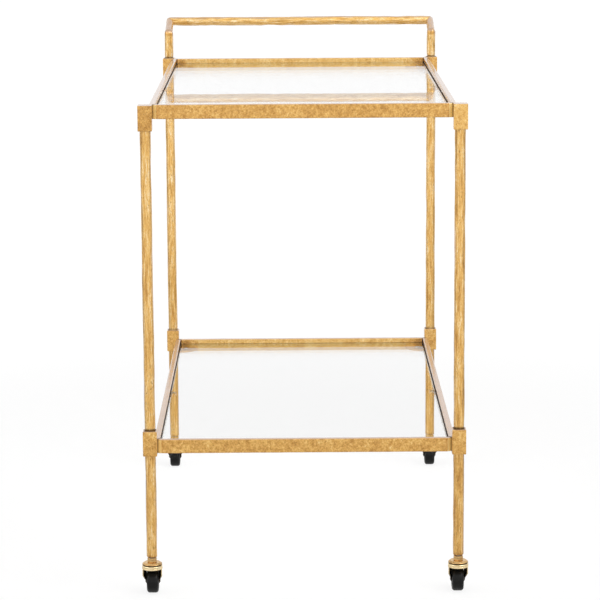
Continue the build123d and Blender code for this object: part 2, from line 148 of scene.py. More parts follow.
# Where the leaf wears along edges. Outer bends get a painted highlight, and faces a painted pale sheen by how
# far they look up, 1 being straight up
EDGE_WEAR_WIDTH = 2.4 * MM
BEND_SHARE = 0.95
FLAT_TOP_SHEEN = (0.45, 0.85)
TOP_FADE = 0.4
NO_TOP_SHEEN = 1.1
POST_TOP_START = 0.15
HANDLE_BAR_TOP_START = 0.6

# Casters
WHEEL_TREAD_WIDTH = 16.6 * MM
WHEEL_SHOULDER = 4.0 * MM
WHEEL_RIM = 5.5 * MM
WHEEL_WEB_WIDTH = 12.0 * MM
WHEEL_HUB_DIAMETER = 12.0 * MM
WHEEL_DRAFT = 1.0 * MM
WHEEL_BORE = 4.1 * MM
WHEEL_STEPS = 96
CUP_WALL = 1.2 * MM
CUP_RIM_HEIGHT = 1.0 * MM
CUP_ROLL = CUP_WALL * 0.8
CUP_FLAT_DIAMETER = 23.0 * MM
CUP_BORE = 8.3 * MM
CUP_STEPS = 72
# Painted shade in the groove under the cup, full up to the first distance from its bottom edge and gone from
# the second
CUP_GROOVE = (0.4 * MM, 1.1 * MM)
CUP_EDGE = 1.0 * MM
# Painted shade low on the forks: none above the first height, full below the second
FORK_SHADE_HEIGHTS = (30.0 * MM, 23.0 * MM)
PRESSED_EDGE = 0.22 * MM
NUT_EDGE = 0.3 * MM
EDGE_SEGMENTS = 2
QUARTER_TURN = [math.radians(angle) for angle in range(0, 91, 15)]

# Meshes: points closer than this are merged, and edges sharper than this stay crisp
LATHE_MERGE = 0.001 * MM
SOLID_MERGE = 0.002 * MM
BAR_CREASE = math.radians(40.0)
CASTER_CREASE = math.radians(35.0)


def corners(node):
    """Low and high corner of a solid's box."""
    return [Vector(corner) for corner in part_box(node)]


def middle(node):
    """Centre of a solid's box."""
    low, high = corners(node)
    return (low + high) / 2


def extent(node):
    """Size of a solid's box."""
    low, high = corners(node)
    return high - low


def paint(red, green, blue):
    """A colour written as on a screen, for a shader's linear socket."""
    shares = [channel / 255 for channel in (red, green, blue)]
    linear = [((share + 0.055) / 1.055) ** 2.4 if share > 0.04045 else share / 12.92 for share in shares]
    return (*linear, 1.0)


# Nodes, for trees of geometry and of shaders


def fill(tree, node, inputs):
    """Fills a node's inputs: a socket is linked, anything else is set as a plain value."""
    for name, value in inputs.items():
        if isinstance(value, bpy.types.NodeSocket):
            tree.links.new(value, node.inputs[name])
        else:
            node.inputs[name].default_value = value


def add(tree, kind, inputs=None, **settings):
    """Adds a node with its settings and inputs."""
    node = tree.nodes.new(kind)
    for name, value in settings.items():
        setattr(node, name, value)
    fill(tree, node, inputs or {})
    return node


def calc(tree, operation, *values):
    """One step of arithmetic on numbers."""
    return add(tree, "ShaderNodeMath", dict(enumerate(values)), operation=operation).outputs[0]


def plus(tree, first, second):
    return calc(tree, "ADD", first, second)


def minus(tree, first, second):
    return calc(tree, "SUBTRACT", first, second)


def times(tree, first, second):
    return calc(tree, "MULTIPLY", first, second)


def weighted(tree, *shares):
    """Sum of (value, weight) pairs."""
    parts = [times(tree, value, weight) for value, weight in shares]
    total = parts[0]
    for part in parts[1:]:
        total = plus(tree, total, part)
    return total


def vector_calc(tree, operation, *values):
    """One step of arithmetic on vectors."""
    node = add(tree, "ShaderNodeVectorMath", dict(enumerate(values)), operation=operation)
    return node.outputs["Vector"]


def scaled(tree, vector, amount):
    inputs = {0: vector, "Scale": amount}
    return add(tree, "ShaderNodeVectorMath", inputs, operation="SCALE").outputs["Vector"]


def join_xyz(tree, **parts):
    return add(tree, "ShaderNodeCombineXYZ", parts).outputs[0]


def split_xyz(tree, vector):
    return add(tree, "ShaderNodeSeparateXYZ", {0: vector}).outputs


def ramp(tree, value, source, target=(0.0, 1.0)):
    """Smooth step of a value, from one range to another."""
    inputs = {"Value": value, "From Min": source[0], "From Max": source[1],
              "To Min": target[0], "To Max": target[1]}
    return add(tree, "ShaderNodeMapRange", inputs, interpolation_type="SMOOTHSTEP").outputs["Result"]


def noise(tree, coords, scale, detail=2.0, roughness=0.5, output=0):
    inputs = {"Vector": coords, "Scale": scale, "Detail": detail, "Roughness": roughness}
    return add(tree, "ShaderNodeTexNoise", inputs).outputs[output]


def centred_noise(tree, coords, scale, amount, detail):
    """Noise between minus and plus amount."""
    swing = minus(tree, noise(tree, coords, scale, detail), 0.5)
    return times(tree, swing, times(tree, amount, 2.0))


def edge_distance(tree, coords, scale):
    """Distance to the nearest border between cells that are scattered over the coordinates."""
    inputs = {"Vector": coords, "Scale": scale}
    return add(tree, "ShaderNodeTexVoronoi", inputs, feature="DISTANCE_TO_EDGE").outputs["Distance"]


# Geometry Nodes trees for the hammered bars, the flat bars and the corner sleeves


def new_tree(name, sizes):
    """A tree that takes geometry, one named number per size, and a material."""
    tree = bpy.data.node_groups.new(name, "GeometryNodeTree")
    tree.interface.new_socket("Geometry", in_out="INPUT", socket_type="NodeSocketGeometry")
    for size in sizes:
        tree.interface.new_socket(size, in_out="INPUT", socket_type="NodeSocketFloat")
    tree.interface.new_socket("Material", in_out="INPUT", socket_type="NodeSocketMaterial")
    tree.interface.new_socket("Geometry", in_out="OUTPUT", socket_type="NodeSocketGeometry")
    return tree, tree.nodes.new("NodeGroupInput").outputs


def position(tree):
    return tree.nodes.new("GeometryNodeInputPosition").outputs[0]


def normal(tree):
    return tree.nodes.new("GeometryNodeInputNormal").outputs["Normal"]


def capture(tree, geometry, kind, value):
    """Keeps a value on the geometry's points. Returns the geometry and the kept value."""
    node = tree.nodes.new("GeometryNodeCaptureAttribute")
    node.capture_items.new(kind, "Kept")
    fill(tree, node, {0: geometry, 1: value})
    return node.outputs[0], node.outputs[1]


def store(tree, geometry, name, value, kind="FLOAT"):
    """Stores a value on the geometry's points for the finish to read."""
    inputs = {"Geometry": geometry, "Name": name, "Value": value}
    return add(tree, "GeometryNodeStoreNamedAttribute", inputs, data_type=kind, domain="POINT").outputs[0]


def shift(tree, geometry, offset):
    return add(tree, "GeometryNodeSetPosition", {"Geometry": geometry, "Offset": offset}).outputs[0]


def swell(tree, geometry, amount):
    """Moves a surface outwards by an amount."""
    return shift(tree, geometry, scaled(tree, normal(tree), amount))


def dented(tree, geometry, coords, depth, dents):
    """Pushes a surface in and out by fine and by broad dents."""
    fine, broad = dents
    push = plus(tree, centred_noise(tree, coords, fine, depth, detail=2.0),
                centred_noise(tree, coords, broad, depth, detail=1.0))
    return swell(tree, geometry, push)


def seeded(tree, place, seed):
    """Coordinates moved on by a seed, so that no two pieces are marked alike."""
    return vector_calc(tree, "ADD", place, join_xyz(tree, X=seed))


def facing_up(tree, source):
    """1 where the surface looks up, 0 where it stands upright."""
    return ramp(tree, split_xyz(tree, normal(tree))[2], source)


def sweep(tree, path, section):
    inputs = {"Curve": path, "Profile Curve": section, "Fill Caps": True}
    return add(tree, "GeometryNodeCurveToMesh", inputs).outputs[0]


def round_corners(tree, curve, steps, radius):
    inputs = {"Curve": curve, "Count": steps, "Radius": radius}
    return add(tree, "GeometryNodeFilletCurve", inputs, mode="POLY").outputs[0]


def close_tree(tree, geometry, material):
    """Ends a tree: smooth shading, real geometry, and the finish."""
    smooth = add(tree, "GeometryNodeSetShadeSmooth", {"Geometry": geometry}).outputs[0]
    real = add(tree, "GeometryNodeRealizeInstances", {"Geometry": smooth}).outputs[0]
    painted = add(tree, "GeometryNodeSetMaterial", {"Geometry": real, "Material": material}).outputs[0]
    add(tree, "NodeGroupOutput", {"Geometry": painted})


def bar_path(tree, given):
    """The bar's line with its bends, in even steps, and how far each point is from either end."""
    line = add(tree, "GeometryNodeMeshToCurve", {"Mesh": given["Geometry"]}).outputs[0]
    bent = round_corners(tree, line, BEND_STEPS, given["Bend Radius"])
    inputs = {"Curve": bent, "Length": given["Step"]}
    stepped = add(tree, "GeometryNodeResampleCurve", inputs, mode="LENGTH").outputs[0]
    run = tree.nodes.new("GeometryNodeSplineParameter").outputs["Length"]
    whole = tree.nodes.new("GeometryNodeSplineLength").outputs["Length"]
    path, from_start = capture(tree, stepped, "FLOAT", run)
    path, from_end = capture(tree, path, "FLOAT", minus(tree, whole, run))
    return path, from_start, from_end


def round_section(tree, radius):
    """A bar's ring, and the cosine and sine of each point's angle on it."""
    ring = add(tree, "GeometryNodeCurvePrimitiveCircle", {"Resolution": BAR_SIDES, "Radius": radius})
    share = tree.nodes.new("GeometryNodeSplineParameter").outputs["Factor"]
    ring, angle = capture(tree, ring.outputs[0], "FLOAT", times(tree, share, math.tau))
    return ring, calc(tree, "COSINE", angle), calc(tree, "SINE", angle)


def hammer_cells(tree, given, across, upward, from_start):
    """Coordinates that count the hammer's flats, around the bar and along it."""
    around = calc(tree, "DIVIDE", given["Flats"], math.tau)
    along = calc(tree, "DIVIDE", from_start, given["Flat Length"])
    return join_xyz(tree, X=times(tree, across, around), Y=times(tree, upward, around),
                    Z=plus(tree, along, given["Seed"]))


def bar_wander(tree, given, from_start, from_end):
    """How far a bar strays from its line, nothing at its ends."""
    nearest = calc(tree, "MINIMUM", from_start, from_end)
    free = ramp(tree, nearest, (0.0, given["End Margin"]))
    line = join_xyz(tree, X=times(tree, from_start, WANDERS_PER_METRE), Y=given["Seed"])
    stray = noise(tree, line, scale=1.0, detail=1.0, output="Color")
    stray = vector_calc(tree, "SUBTRACT", stray, (0.5, 0.5, 0.5))
    reach = times(tree, times(tree, free, given["Wander"]), WANDER_SPREAD)
    return scaled(tree, stray, reach)


def end_round(tree, distance, length, depth):
    """How far a bar draws in near an end: a quarter round that starts length away from it."""
    share = add(tree, "ShaderNodeClamp", {"Value": calc(tree, "DIVIDE", distance, length)}).outputs[0]
    near = minus(tree, 1.0, share)
    arc = calc(tree, "SQRT", minus(tree, 1.0, times(tree, near, near)))
    return times(tree, depth, minus(tree, 1.0, arc))


def bar_draw_in(tree, given, from_start, from_end, from_neck):
    """How far a bar is drawn in: at both ends, at its neck, and where it goes on thinner."""
    ends = plus(tree, end_round(tree, from_start, given["Start Length"], given["Start Depth"]),
                end_round(tree, from_end, given["End Length"], given["End Depth"]))
    at_neck = ramp(tree, from_neck, (0.0, BAR_NECK_WIDTH), (1.0, 0.0))
    neck = times(tree, at_neck, given["Neck Depth"])
    thin_range = (given["Thin From"], plus(tree, given["Thin From"], THIN_LENGTH))
    thin = ramp(tree, from_start, thin_range, (0.0, given["Thin Depth"]))
    return plus(tree, plus(tree, ends, neck), thin)


def hammered_bar_tree():
    """Round bar along a path, beaten into long flats with soft ridges between them."""
    tree, given = new_tree("hammered_bar", (
        "Radius", "Step", "Bend Radius", "Flats", "Flat Length", "Flat Depth", "Ripple", "Wander",
        "End Margin", "Start Length", "Start Depth", "End Length", "End Depth", "Neck Place", "Neck Depth",
        "Thin From", "Thin Depth", "Top Start", "Tone", "Seed"))
    path, from_start, from_end = bar_path(tree, given)
    ring, across, upward = round_section(tree, given["Radius"])
    bar = sweep(tree, path, ring)

    cells = hammer_cells(tree, given, across, upward, from_start)
    hollow = ramp(tree, edge_distance(tree, cells, 1.0), (0.0, HOLLOW_REACH))
    beaten = times(tree, hollow, given["Flat Depth"])
    ripple = centred_noise(tree, cells, RIPPLES_PER_FLAT, given["Ripple"], detail=3.0)
    from_neck = calc(tree, "ABSOLUTE", minus(tree, from_start, given["Neck Place"]))
    drawn_in = bar_draw_in(tree, given, from_start, from_end, from_neck)
    inward = plus(tree, minus(tree, beaten, ripple), drawn_in)
    bar = swell(tree, bar, times(tree, inward, -1.0))
    bar = shift(tree, bar, bar_wander(tree, given, from_start, from_end))

    surface = join_xyz(tree, X=times(tree, across, given["Radius"]),
                       Y=times(tree, upward, given["Radius"]),
                       Z=plus(tree, from_start, given["Seed"]))
    bar = store(tree, bar, "bar_coords", surface, "FLOAT_VECTOR")
    bar = store(tree, bar, "hollow", hollow)
    # A dark line of painted shade just past the sleeve's mouth, on bars with a neck.
    at_mouth = calc(tree, "DIVIDE", given["Neck Depth"], BAR_NECK_DEPTH)
    mouth_shade = ramp(tree, from_neck, MOUTH_SHADE_LINE, (1.0, 0.0))
    bar = store(tree, bar, "joint_shade", times(tree, mouth_shade, at_mouth))
    # Painted shade near where the bar goes thinner: the posts' knee, and the start of the other bars.
    from_knee = calc(tree, "ABSOLUTE", minus(tree, from_start, given["Thin From"]))
    knee_shade = ramp(tree, from_knee, KNEE_RANGE, (KNEE_SHADE_TONE, 0.0))
    bar = store(tree, bar, "light_and_shade_tone", plus(tree, given["Tone"], knee_shade))
    # Faces that look up get a painted pale sheen.
    top_full = plus(tree, given["Top Start"], TOP_FADE)
    bar = store(tree, bar, "painted_top_sheen", facing_up(tree, (given["Top Start"], top_full)))
    close_tree(tree, bar, given["Material"])
    return tree


def flat_section(tree, given):
    """A flat bar's rectangle with rounded corners, and each point's place on it."""
    inputs = {"Width": given["Thickness"], "Height": given["Height"]}
    section = add(tree, "GeometryNodeCurvePrimitiveQuadrilateral", inputs, mode="RECTANGLE").outputs[0]
    section = round_corners(tree, section, RAIL_EDGE_STEPS, given["Edge Round"])
    inputs = {"Curve": section, "Count": RAIL_SECTION_POINTS}
    section = add(tree, "GeometryNodeResampleCurve", inputs, mode="COUNT").outputs[0]
    return capture(tree, section, "VECTOR", position(tree))


def flat_bar_tree():
    """Flat bar on edge along a path with bent ends, faces slightly dented and edges softened."""
    tree, given = new_tree("leafed_flat_bar", (
        "Thickness", "Height", "Step", "Bend Radius", "Edge Round", "Dent", "Inward X", "Inward Y",
        "Pane Top", "Seam Height", "Seam Darkness", "Tone", "Seed"))
    path, from_start, from_end = bar_path(tree, given)
    section, spot = flat_section(tree, given)
    bar = sweep(tree, path, section)
    bar = dented(tree, bar, seeded(tree, position(tree), given["Seed"]), given["Dent"], RAIL_DENTS)

    parts = split_xyz(tree, vector_calc(tree, "ABSOLUTE", spot))
    side_gap = minus(tree, times(tree, given["Thickness"], 0.5), parts[0])
    top_gap = minus(tree, times(tree, given["Height"], 0.5), parts[1])
    edge_gap = plus(tree, side_gap, top_gap)
    bar = store(tree, bar, "edge_wear", ramp(tree, edge_gap, (0.0, EDGE_WEAR_WIDTH), (1.0, 0.0)))

    inward = join_xyz(tree, X=given["Inward X"], Y=given["Inward Y"])
    facing = add(tree, "ShaderNodeVectorMath", {0: normal(tree), 1: inward}, operation="DOT_PRODUCT")
    facing = facing.outputs["Value"]
    inner = ramp(tree, facing, INNER_FACING)
    outer = calc(tree, "LESS_THAN", facing, 0.0)
    nearest = calc(tree, "MINIMUM", from_start, from_end)
    # Outer faces of the bends get a painted highlight.
    bend = ramp(tree, nearest, (times(tree, given["Bend Radius"], BEND_SHARE), 0.0))
    bar = store(tree, bar, "bend", times(tree, bend, outer))

    # Painted shade along the pane on the inner face, and where the rail meets a sleeve.
    level = split_xyz(tree, position(tree))[2]
    from_pane = calc(tree, "ABSOLUTE", minus(tree, level, given["Pane Top"]))
    seam_range = (given["Seam Height"], plus(tree, given["Seam Height"], SEAM_FADE))
    seam_shade = ramp(tree, from_pane, seam_range, (given["Seam Darkness"], 0.0))
    pane_shade = times(tree, inner, seam_shade)
    sleeve_shade = ramp(tree, nearest, SLEEVE_SHADE_LINE, (1.0, 0.0))
    bar = store(tree, bar, "joint_shade", calc(tree, "MAXIMUM", sleeve_shade, pane_shade))
    # Painted shade on the inner face near the corners, added to the piece's painted light and shade.
    corner_shade = times(tree, inner, ramp(tree, nearest, CORNER_RANGE, (CORNER_SHADE_TONE, 0.0)))
    bar = store(tree, bar, "light_and_shade_tone", plus(tree, given["Tone"], corner_shade))
    # Faces that look up get a painted pale sheen.
    bar = store(tree, bar, "painted_top_sheen", facing_up(tree, FLAT_TOP_SHEEN))
    close_tree(tree, bar, given["Material"])
    return tree


def rounded_block(tree, half, radius):
    """A block with rounded edges, and where each of its points was before the rounding."""
    inputs = {"Size": vector_calc(tree, "ADD", half, half), **SLEEVE_GRID}
    block = add(tree, "GeometryNodeMeshCube", inputs).outputs["Mesh"]
    block, spot = capture(tree, block, "VECTOR", position(tree))
    core = vector_calc(tree, "SUBTRACT", half, join_xyz(tree, X=radius, Y=radius, Z=radius))
    inner = vector_calc(tree, "MAXIMUM", vector_calc(tree, "MINIMUM", spot, core),
                        vector_calc(tree, "MULTIPLY", core, (-1.0, -1.0, -1.0)))
    away = vector_calc(tree, "NORMALIZE", vector_calc(tree, "SUBTRACT", spot, inner))
    rounded = vector_calc(tree, "ADD", inner, scaled(tree, away, radius))
    return add(tree, "GeometryNodeSetPosition", {"Geometry": block, "Position": rounded}).outputs[0], spot


def sink_mouths(tree, given, block, half_side, half_height):
    """Sinks a square mouth into each open end of a sleeve."""
    here = position(tree)
    parts = split_xyz(tree, vector_calc(tree, "ABSOLUTE", here))
    bore = minus(tree, half_side, given["Wall"])
    in_bore = calc(tree, "LESS_THAN", calc(tree, "MAXIMUM", parts[0], parts[1]), bore)
    end_face = calc(tree, "GREATER_THAN", parts[2], minus(tree, half_height, given["Edge Round"]))
    at_foot = calc(tree, "LESS_THAN", split_xyz(tree, here)[2], 0.0)
    open_end = calc(tree, "MAXIMUM", at_foot, given["Open Top"])
    chosen = times(tree, times(tree, in_bore, end_face), open_end)
    inputs = {"Mesh": block, "Selection": calc(tree, "GREATER_THAN", chosen, 0.5),
              "Offset Scale": times(tree, given["Mouth Depth"], -1.0), "Individual": False}
    return add(tree, "GeometryNodeExtrudeMesh", inputs, mode="FACES").outputs["Mesh"]


def sleeve_tree():
    """Square tube with softened edges and a square mouth at each open end."""
    tree, given = new_tree("corner_sleeve", (
        "Side", "Height", "Wall", "Edge Round", "Mouth Depth", "Open Top", "Dent", "Tone", "Seed"))
    half_side = calc(tree, "DIVIDE", given["Side"], 2.0)
    half_height = calc(tree, "DIVIDE", given["Height"], 2.0)
    half = join_xyz(tree, X=half_side, Y=half_side, Z=half_height)
    block, spot = rounded_block(tree, half, given["Edge Round"])
    block = dented(tree, block, seeded(tree, spot, given["Seed"]), given["Dent"], SLEEVE_DENTS)

    parts = split_xyz(tree, vector_calc(tree, "ABSOLUTE", spot))
    halves = (half_side, half_side, half_height)
    gaps = [minus(tree, limit, part) for limit, part in zip(halves, parts)]
    lesser = calc(tree, "MINIMUM", gaps[0], gaps[1])
    greater = calc(tree, "MAXIMUM", gaps[0], gaps[1])
    edge_gap = calc(tree, "MAXIMUM", lesser, calc(tree, "MINIMUM", greater, gaps[2]))
    block = store(tree, block, "edge_wear", ramp(tree, edge_gap, (0.0, EDGE_WEAR_WIDTH), (1.0, 0.0)))
    # The sleeve's tone shift, painted light and shade.
    block = store(tree, block, "light_and_shade_tone", given["Tone"])
    # Faces that look up get a painted pale sheen.
    block = store(tree, block, "painted_top_sheen", facing_up(tree, FLAT_TOP_SHEEN))
    block = sink_mouths(tree, given, block, half_side, half_height)
    close_tree(tree, block, given["Material"])
    return tree


# Pieces


def new_object(name, data):
    """A new object in the scene."""
    piece = bpy.data.objects.new(name, data)
    bpy.context.collection.objects.link(piece)
    return piece


def shade(mesh, crease):
    """Smooth faces, with edges sharper than the crease kept crisp."""
    shape = bmesh.new()
    shape.from_mesh(mesh)
    for face in shape.faces:
        face.smooth = True
    for edge in shape.edges:
        edge.smooth = edge.calc_face_angle(0.0) < crease
    shape.to_mesh(mesh)
    shape.free()


def grown(name, tree, line, material, **sizes):
    """Runs a tree on a line of points and keeps the result as a plain mesh."""
    source_mesh = bpy.data.meshes.new(name + "_line")
    source_mesh.from_pydata(line, [(i, i + 1) for i in range(len(line) - 1)], [])
    source = new_object(name + "_line", source_mesh)
    modifier = source.modifiers.new(tree.name, "NODES")
    modifier.node_group = tree
    values = {size.replace("_", " ").title(): value for size, value in sizes.items()}
    values["Material"] = material
    for socket in tree.interface.items_tree:
        if socket.in_out == "INPUT" and socket.name in values:
            modifier[socket.identifier] = values[socket.name]
    bpy.context.view_layer.update()
    evaluated = source.evaluated_get(bpy.context.evaluated_depsgraph_get())
    mesh = bpy.data.meshes.new_from_object(evaluated)
    source.modifiers.remove(modifier)
    bpy.data.objects.remove(source)
    mesh.name = name
    shade(mesh, BAR_CREASE)
    return new_object(name, mesh)


def dress(piece, body, node):
    """Puts a piece in the place of its solid."""
    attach(piece, body)
    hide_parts(node)


# Finishes


def new_finish(name):
    """An empty node material with its Principled shader."""
    material = bpy.data.materials.new(name)
    material.use_nodes = True
    tree = material.node_tree
    return material, tree, tree.nodes["Principled BSDF"]


def object_coords(tree):
    return tree.nodes.new("ShaderNodeTexCoord").outputs["Object"]


def attribute(tree, name, output="Fac"):
    return add(tree, "ShaderNodeAttribute", attribute_name=name).outputs[output]


def drawn_out(tree, coords, along):
    """Coordinates that draw a pattern out along z where along is below 1, and squeeze it above 1."""
    return add(tree, "ShaderNodeMapping", {"Vector": coords, "Scale": (1.0, 1.0, along)}).outputs[0]


def blend_colour(tree, factor, first, second):
    return add(tree, "ShaderNodeMix", {0: factor, 6: first, 7: second}, data_type="RGBA").outputs[2]


def blend_value(tree, factor, first, second):
    return add(tree, "ShaderNodeMix", {0: factor, 2: first, 3: second}, data_type="FLOAT").outputs[0]


def blend_surface(tree, factor, first, second):
    """Shows a blend of two shaders as the material's surface."""
    mixed = add(tree, "ShaderNodeMixShader", {0: factor, 1: first, 2: second}).outputs[0]
    fill(tree, tree.nodes["Material Output"], {"Surface": mixed})


def colour_steps(tree, value, *steps):
    """Colour ramp from (position, colour) pairs."""
    node = add(tree, "ShaderNodeValToRGB", {"Fac": value})
    elements = node.color_ramp.elements
    while len(elements) < len(steps):
        elements.new(0.5)
    for element, (place, colour) in zip(elements, steps):
        element.position = place
        element.color = colour
    return node.outputs["Color"]


def bump(tree, height, strength, distance):
    inputs = {"Height": height, "Strength": strength, "Distance": distance}
    return add(tree, "ShaderNodeBump", inputs).outputs["Normal"]


LEAF_BROWN = paint(122, 84, 24)
LEAF_SHADE = paint(172, 120, 40)
LEAF_GOLD = paint(212, 160, 78)
LEAF_BRIGHT = paint(234, 188, 104)
LEAF_PALE = paint(252, 224, 162)
LEAF_RIDGE = paint(255, 236, 196)
# Colour of the painted highlight on the rails' outer bends.
LEAF_BEND_HIGHLIGHT = paint(255, 226, 150)
# Colour of the painted pale sheen on faces that look up.
LEAF_TOP_SHEEN = paint(194, 162, 133)
# Colour of the painted shade in joints and seams.
JOINT_SHADE_DARK = paint(48, 30, 16)
LEAF_METAL = 0.85
# Metal of the painted highlight on the bends.
BEND_HIGHLIGHT_METAL = 0.1
JOINT_ROUGHNESS = 0.95
LEAF_COAT = 0.9


def leaf_surface(tree, shader, leaf, top, joint_shade, metal, rough, relief):
    """The leaf's colour, metal, gloss and relief: a painted pale sheen on top faces, dull and dark painted
    shade in the joints.
    """
    colour = blend_colour(tree, top, leaf, LEAF_TOP_SHEEN)
    less_metal = calc(tree, "MAXIMUM", joint_shade, times(tree, top, 0.5))
    fill(tree, shader, {
        "Base Color": blend_colour(tree, joint_shade, colour, JOINT_SHADE_DARK),
        "Metallic": times(tree, metal, minus(tree, 1.0, less_metal)),
        "Roughness": ramp(tree, joint_shade, (0.0, 1.0), (rough, JOINT_ROUGHNESS)),
        "Coat Weight": ramp(tree, joint_shade, (0.0, 0.8), (LEAF_COAT, 0.0)),
        "Coat Roughness": 0.16,
        "Specular Tint": (0.86, 0.82, 0.9, 1.0),
        "Normal": relief})


def hammered_leaf():
    """Leaf on the round bars: long streaks and fine grain, worn brown in scuffs and pits."""
    material, tree, shader = new_finish("hammered_gold_leaf")
    coords = attribute(tree, "bar_coords", "Vector")
    hollow = attribute(tree, "hollow")
    streak = noise(tree, drawn_out(tree, coords, 0.065), scale=700.0, detail=5.0, roughness=0.7)
    patch = noise(tree, drawn_out(tree, coords, 0.3), scale=95.0, detail=3.0)
    grain = noise(tree, drawn_out(tree, coords, 0.3), scale=900.0, detail=4.0, roughness=0.6)
    # The tone adds the piece's painted light and shade to the leaf's random streaks, grain and patina in the
    # hollows.
    tone = weighted(tree, (streak, 0.76), (patch, 0.16), (minus(tree, grain, 0.5), 0.36),
                    (minus(tree, 0.45, hollow), 0.12), (attribute(tree, "light_and_shade_tone"), 1.0))
    leaf = colour_steps(tree, tone, (0.30, LEAF_SHADE), (0.42, LEAF_GOLD), (0.53, LEAF_BRIGHT),
                        (0.68, LEAF_RIDGE))

    scuff = noise(tree, drawn_out(tree, coords, 0.1), scale=480.0, detail=4.0, roughness=0.7)
    pits = noise(tree, drawn_out(tree, coords, 0.22), scale=900.0, detail=2.0)
    pits = times(tree, ramp(tree, pits, (0.59, 0.69)), ramp(tree, patch, (0.42, 0.58), (0.1, 0.7)))
    worn = calc(tree, "MAXIMUM", ramp(tree, scuff, (0.62, 0.78)), pits)
    leaf = blend_colour(tree, worn, leaf, LEAF_BROWN)
    rough = ramp(tree, plus(tree, grain, worn), (0.2, 1.4), (0.30, 0.62))
    # Painted pale sheen on faces that look up, in streaks.
    sheen_on_top = times(tree, attribute(tree, "painted_top_sheen"), ramp(tree, streak, (0.34, 0.56), (0.25, 1.0)))
    relief = bump(tree, weighted(tree, (streak, 1.0), (grain, 0.35)), strength=0.5, distance=0.35 * MM)
    leaf_surface(tree, shader, leaf, sheen_on_top, attribute(tree, "joint_shade"), LEAF_METAL, rough, relief)
    return material


def leaf_creases(tree, coords, drift):
    """Thin wandering lines where the leaf creased, in some places only."""
    pull = scaled(tree, noise(tree, coords, scale=90.0, output="Color"), 14.0 * MM)
    crease = edge_distance(tree, vector_calc(tree, "ADD", coords, pull), 75.0)
    return times(tree, ramp(tree, crease, (0.02, 0.07), (1.0, 0.0)), ramp(tree, drift, (0.48, 0.62)))


def flat_leaf():
    """Leaf on rails, sleeves and glass supports: mottled, with fine creases, brown along worn edges."""
    material, tree, shader = new_finish("mottled_gold_leaf")
    coords = object_coords(tree)
    edge = attribute(tree, "edge_wear")
    grain = noise(tree, coords, scale=640.0, detail=4.0, roughness=0.65)
    mottle = noise(tree, coords, scale=400.0, detail=4.0, roughness=0.65)
    patch = noise(tree, coords, scale=130.0, detail=4.0, roughness=0.65)
    drift = noise(tree, coords, scale=38.0, detail=2.0)
    # The tone adds the piece's painted light and shade to the leaf's random mottle, patches and creases.
    tone = weighted(tree, (grain, 0.36), (mottle, 0.32), (patch, 0.29), (drift, 0.05),
                    (attribute(tree, "light_and_shade_tone"), 1.0), (leaf_creases(tree, coords, drift), 0.06))
    leaf = colour_steps(tree, tone, (0.42, LEAF_SHADE), (0.52, LEAF_GOLD), (0.60, LEAF_BRIGHT),
                        (0.72, LEAF_PALE))

    rub = noise(tree, coords, scale=170.0, detail=4.0, roughness=0.7)
    worn = ramp(tree, weighted(tree, (rub, 1.0), (edge, 0.07)), (0.62, 0.82))
    speck = noise(tree, coords, scale=560.0, detail=2.0, roughness=0.55)
    speck = ramp(tree, weighted(tree, (speck, 1.0), (edge, 0.06)), (0.66, 0.74), (0.0, 0.75))
    worn = calc(tree, "MAXIMUM", worn, speck)
    # Painted highlight on the outer bends: pale and barely metal.
    bend = ramp(tree, attribute(tree, "bend"), (0.16, 0.28))
    leaf = blend_colour(tree, worn, blend_colour(tree, bend, leaf, LEAF_BEND_HIGHLIGHT), LEAF_BROWN)
    rough = ramp(tree, plus(tree, grain, worn), (0.2, 1.4), (0.34, 0.66))
    metal = ramp(tree, bend, (0.0, 1.0), (LEAF_METAL, BEND_HIGHLIGHT_METAL))
    relief = bump(tree, weighted(tree, (grain, 1.0), (mottle, 0.8)), strength=0.45, distance=0.3 * MM)
    # Painted pale sheen on faces that look up.
    top = attribute(tree, "painted_top_sheen")
    leaf_surface(tree, shader, leaf, top, attribute(tree, "joint_shade"), metal, rough, relief)
    return material


def polished_brass():
    """Caster brass: polished, with faint smears, painted shade in the groove under the cup and low on the
    forks, and the crown painted paler than the cup.
    """
    material, tree, shader = new_finish("polished_caster_brass")
    coords = object_coords(tree)
    smear = noise(tree, drawn_out(tree, coords, 3.0), scale=240.0, detail=4.0, roughness=0.6)
    speck = noise(tree, coords, scale=1400.0, detail=3.0, roughness=0.6)
    level = split_xyz(tree, coords)[2]
    cup_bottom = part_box("front_left_caster_cup")[0][2]
    above = minus(tree, level, cup_bottom)
    tone = plus(tree, weighted(tree, (smear, 0.35), (speck, 0.2)), 0.225)
    # Painted light and shade: paler below the cup's bottom, on the crown, and darker above it, on the cup.
    tone = plus(tree, tone, ramp(tree, above, (-CUP_EDGE, CUP_EDGE), (0.09, -0.06)))
    colour = colour_steps(tree, tone, (0.32, paint(160, 112, 62)), (0.5, paint(216, 182, 126)),
                          (0.66, paint(252, 234, 192)))
    in_groove = ramp(tree, calc(tree, "ABSOLUTE", above), CUP_GROOVE, (1.0, 0.0))
    # Painted shade in the groove and low on the forks.
    painted_shade = calc(tree, "MAXIMUM", in_groove, ramp(tree, level, FORK_SHADE_HEIGHTS))
    fill(tree, shader, {
        "Base Color": blend_colour(tree, painted_shade, colour, paint(52, 38, 24)),
        "Roughness": ramp(tree, smear, (0.3, 0.7), (0.12, 0.26)),
        "Normal": bump(tree, speck, strength=0.15, distance=0.08 * MM),
        "Metallic": 1.0})
    return material


